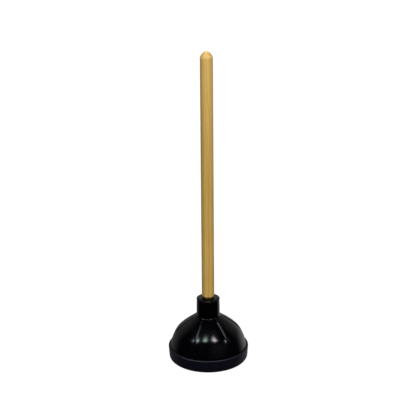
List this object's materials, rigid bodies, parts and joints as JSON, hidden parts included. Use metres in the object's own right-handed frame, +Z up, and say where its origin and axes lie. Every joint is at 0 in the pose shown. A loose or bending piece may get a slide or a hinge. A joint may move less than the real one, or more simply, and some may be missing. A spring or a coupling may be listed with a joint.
{
  "type": "toilet plunger",
  "caption": "Rubber force cup with a heavy foot rim, a ribbed dome and a socket collar, on a straight wooden handle that screws in.",
  "frame": {"origin": "centre of the foot rim, on the floor it stands on", "axes": "+Z up along the handle; -Y is the front; +X to the right seen from the front. The body is one of revolution but for its six ribs"},
  "size_m": [0.1498, 0.1498, 0.595],
  "materials": {
    "foot_rubber": "matt moulded black rubber",
    "skirt_rubber": "satin moulded black rubber",
    "dome_rubber": "glossy moulded black rubber",
    "collar_rubber": "satin moulded black rubber",
    "handle_wood": "clear-varnished pale hardwood, fine straight grain"
  },
  "bodies": {
    "foot": {"cup_rim": "foot_rubber"},
    "cup": {"cup_skirt": "skirt_rubber", "cup_dome": "dome_rubber"},
    "collar": {"cup_collar": "collar_rubber"},
    "handle": {"handle": "handle_wood"}
  },
  "joints": [
    {"name": "lean", "type": "hinge", "parent": "foot", "child": "cup", "pos_m": [0, 0, 0.036], "axis": [0, 1, 0], "range_deg": [-10, 10], "stiffness_Nm_per_rad": 20, "deforming": ["cup_skirt"]},
    {"name": "plunge", "type": "slide", "parent": "cup", "child": "collar", "axis": [0, 0, 1], "range_m": [-0.045, 0.008], "stiffness_N_per_m": 2500, "deforming": ["cup_dome"]},
    {"name": "handle_lift", "type": "slide", "parent": "collar", "child": "handle", "axis": [0, 0, 1], "range_m": [0, 0.045]}
  ]
}
